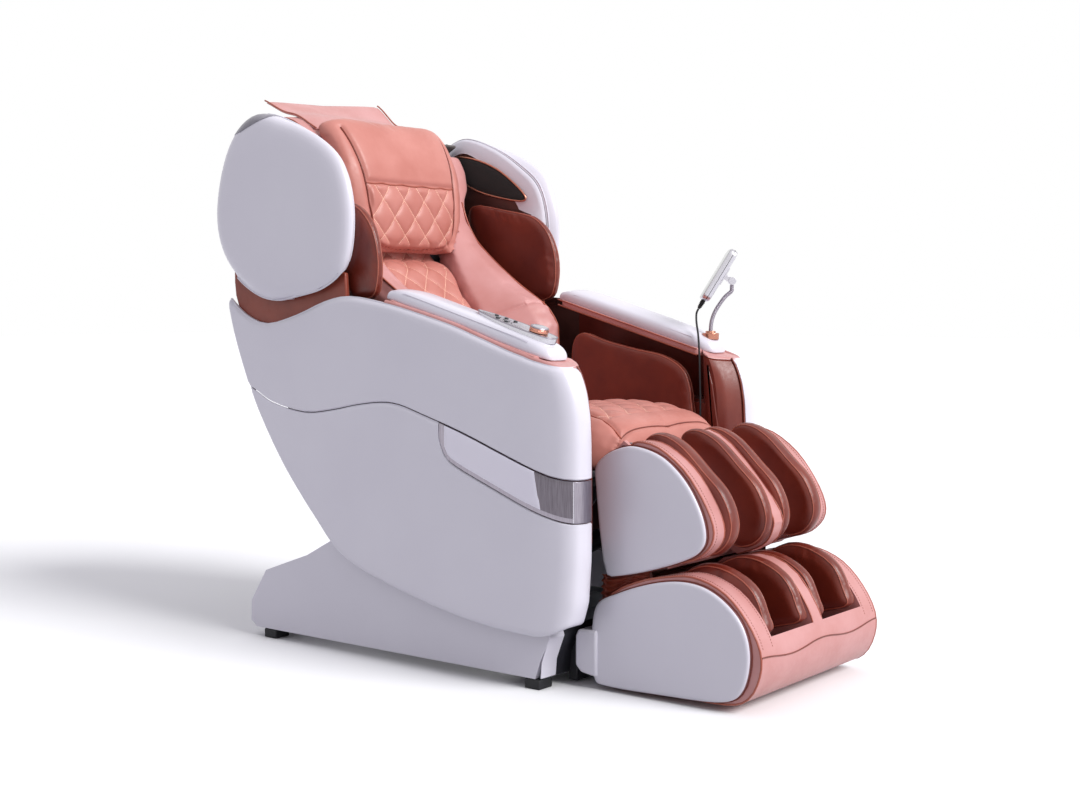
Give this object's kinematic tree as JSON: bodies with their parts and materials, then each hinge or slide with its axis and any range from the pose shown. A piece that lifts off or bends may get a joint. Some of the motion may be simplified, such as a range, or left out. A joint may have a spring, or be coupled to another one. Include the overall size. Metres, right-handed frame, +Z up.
{
  "type": "massage chair",
  "caption": "Reclining massage chair with curved side shells, head shells, lifting calf and foot rest, knob and button arm panel, and a remote on a bendable neck.",
  "frame": {"origin": "the floor under the middle of the chair's box", "axes": "+Z up, the sitter faces -Y, +X towards the sitter's left"},
  "size_m": [0.784, 1.4472, 1.3034],
  "materials": {
    "pearl_shell": "pearl lacquered ABS",
    "salmon_leather": "soft synthetic leather",
    "maroon_leather": "soft synthetic leather",
    "tan_leather": "soft synthetic leather",
    "copper_trim": "anodised",
    "silver_trim": "brushed",
    "steel_frame": "powder coated",
    "bright_steel": "ground",
    "black_plastic": "fine texture",
    "grey_plastic": "fine texture",
    "red_plastic": "moulded",
    "rubber_foot": "moulded",
    "rear_fabric": "woven",
    "cable_jacket": "smooth"
  },
  "bodies": {
    "base": {"base_frame": "steel_frame", "base_skirt": "pearl_shell", "base_front_cover": "black_plastic", "feet": "rubber_foot", "power_box": "grey_plastic"},
    "power_switch": {"power_switch": "red_plastic"},
    "carriage": {"slide_carriage": "steel_frame"},
    "chassis": {"seat_frame": "steel_frame", "side_upper_left": "pearl_shell", "side_upper_right": "pearl_shell", "side_lower_left": "pearl_shell", "side_lower_right": "pearl_shell", "side_bands": "silver_trim", "arm_bands": "salmon_leather", "arm_pad_left": "pearl_shell", "arm_pad_right": "pearl_shell", "arm_inners": "maroon_leather", "hip_pads": "maroon_leather", "control_island": "silver_trim", "seat_cushion": "salmon_leather", "air_pump": "grey_plastic", "lower_rear_cover": "rear_fabric", "actuator_barrels": "black_plastic", "remote_escutcheon": "copper_trim", "gooseneck": "silver_trim", "cable_gland": "cable_jacket", "remote_cable": "cable_jacket"},
    "knob": {"knob": "copper_trim"},
    "button_1": {"button_1": "black_plastic"},
    "button_2": {"button_2": "black_plastic"},
    "button_3": {"button_3": "black_plastic"},
    "button_4": {"button_4": "black_plastic"},
    "button_5": {"button_5": "black_plastic"},
    "recline_rod": {"recline_rod": "bright_steel"},
    "leg_rod": {"leg_rod": "bright_steel"},
    "remote": {"remote_cradle": "silver_trim", "remote_handset": "silver_trim", "cable_relief": "cable_jacket"},
    "backrest": {"back_frame": "steel_frame", "back_pad": "salmon_leather", "bolster_left": "salmon_leather", "bolster_right": "salmon_leather", "pillow": "salmon_leather", "pillow_flap": "salmon_leather", "head_shell_left": "pearl_shell", "head_shell_right": "pearl_shell", "shell_liners": "grey_plastic", "shoulder_pads": "maroon_leather", "side_fairings": "tan_leather", "rear_cover": "rear_fabric"},
    "massage_carriage": {"massage_carriage": "black_plastic"},
    "massage_rollers": {"massage_rollers": "grey_plastic"},
    "calf": {"calf_shell": "salmon_leather", "calf_covers": "pearl_shell", "calf_pads": "maroon_leather", "calf_back": "black_plastic", "bellows": "tan_leather"},
    "foot": {"foot_shell": "salmon_leather", "foot_covers": "pearl_shell", "foot_pads": "maroon_leather"}
  },
  "joints": [
    {"name": "carriage_slide", "type": "slide", "parent": "base", "child": "carriage", "axis": [0, -1, 0], "range_m": [0, 0.1]},
    {"name": "seat_tilt", "type": "hinge", "parent": "carriage", "child": "chassis", "pos_m": [0, 0.2276, 0.17], "axis": [-1, 0, 0], "range_deg": [0, 12]},
    {"name": "back_recline", "type": "hinge", "parent": "chassis", "child": "backrest", "pos_m": [0, 0.2476, 0.44], "axis": [-1, 0, 0], "range_deg": [0, 35]},
    {"name": "recline_rod_slide", "type": "slide", "parent": "chassis", "child": "recline_rod", "axis": [0, -0.9932, -0.1168], "range_m": [0, 0.047]},
    {"name": "calf_lift", "type": "hinge", "parent": "chassis", "child": "calf", "pos_m": [0, -0.3884, 0.502], "axis": [-1, 0, 0], "range_deg": [0, 80]},
    {"name": "leg_rod_slide", "type": "slide", "parent": "chassis", "child": "leg_rod", "axis": [0, -0.916, 0.4012], "range_m": [0, 0.112]},
    {"name": "foot_extend", "type": "slide", "parent": "calf", "child": "foot", "axis": [0, -0.342, -0.9397], "range_m": [0, 0.1], "deforming": ["bellows"]},
    {"name": "massage_travel", "type": "slide", "parent": "backrest", "child": "massage_carriage", "axis": [0, 0.6157, 0.788], "range_m": [0, 0.24]},
    {"name": "kneading_spin", "type": "hinge", "parent": "massage_carriage", "child": "massage_rollers", "pos_m": [0, 0.27982, 0.65524], "axis": [1, 0, 0], "continuous": true},
    {"name": "knob_turn", "type": "hinge", "parent": "chassis", "child": "knob", "pos_m": [-0.31, -0.22665, 0.74036], "axis": [0, -0.2756, 0.9613], "continuous": true},
    {"name": "remote_tilt", "type": "hinge", "parent": "chassis", "child": "remote", "pos_m": [0.346, -0.2934, 0.852], "axis": [0.788, 0.6157, 0], "range_deg": [-10, 20], "deforming": ["remote_cable"]},
    {"name": "power_switch_rock", "type": "hinge", "parent": "base", "child": "power_switch", "pos_m": [0.122, 0.6256, 0.059], "axis": [1, 0, 0], "range_deg": [0, 8]},
    {"name": "button_1_press", "type": "slide", "parent": "chassis", "child": "button_1", "axis": [0, 0.2756, -0.9613], "range_m": [0, 0.0012], "stiffness_N_per_m": 400, "springref_m": -0.0002},
    {"name": "button_2_press", "type": "slide", "parent": "chassis", "child": "button_2", "axis": [0, 0.2756, -0.9613], "range_m": [0, 0.0012], "stiffness_N_per_m": 400, "springref_m": -0.0002},
    {"name": "button_3_press", "type": "slide", "parent": "chassis", "child": "button_3", "axis": [0, 0.2756, -0.9613], "range_m": [0, 0.0012], "stiffness_N_per_m": 400, "springref_m": -0.0002},
    {"name": "button_4_press", "type": "slide", "parent": "chassis", "child": "button_4", "axis": [0, 0.2756, -0.9613], "range_m": [0, 0.0012], "stiffness_N_per_m": 400, "springref_m": -0.0002},
    {"name": "button_5_press", "type": "slide", "parent": "chassis", "child": "button_5", "axis": [0, 0.2756, -0.9613], "range_m": [0, 0.0012], "stiffness_N_per_m": 400, "springref_m": -0.0002}
  ],
  "couplings": [
    {"joint": "recline_rod_slide", "follows": "back_recline", "m_per_rad": 0.0746},
    {"joint": "leg_rod_slide", "follows": "calf_lift", "m_per_rad": 0.0788},
    {"joint": "foot_extend", "follows": "calf_lift", "m_per_rad": 0.0716}
  ]
}
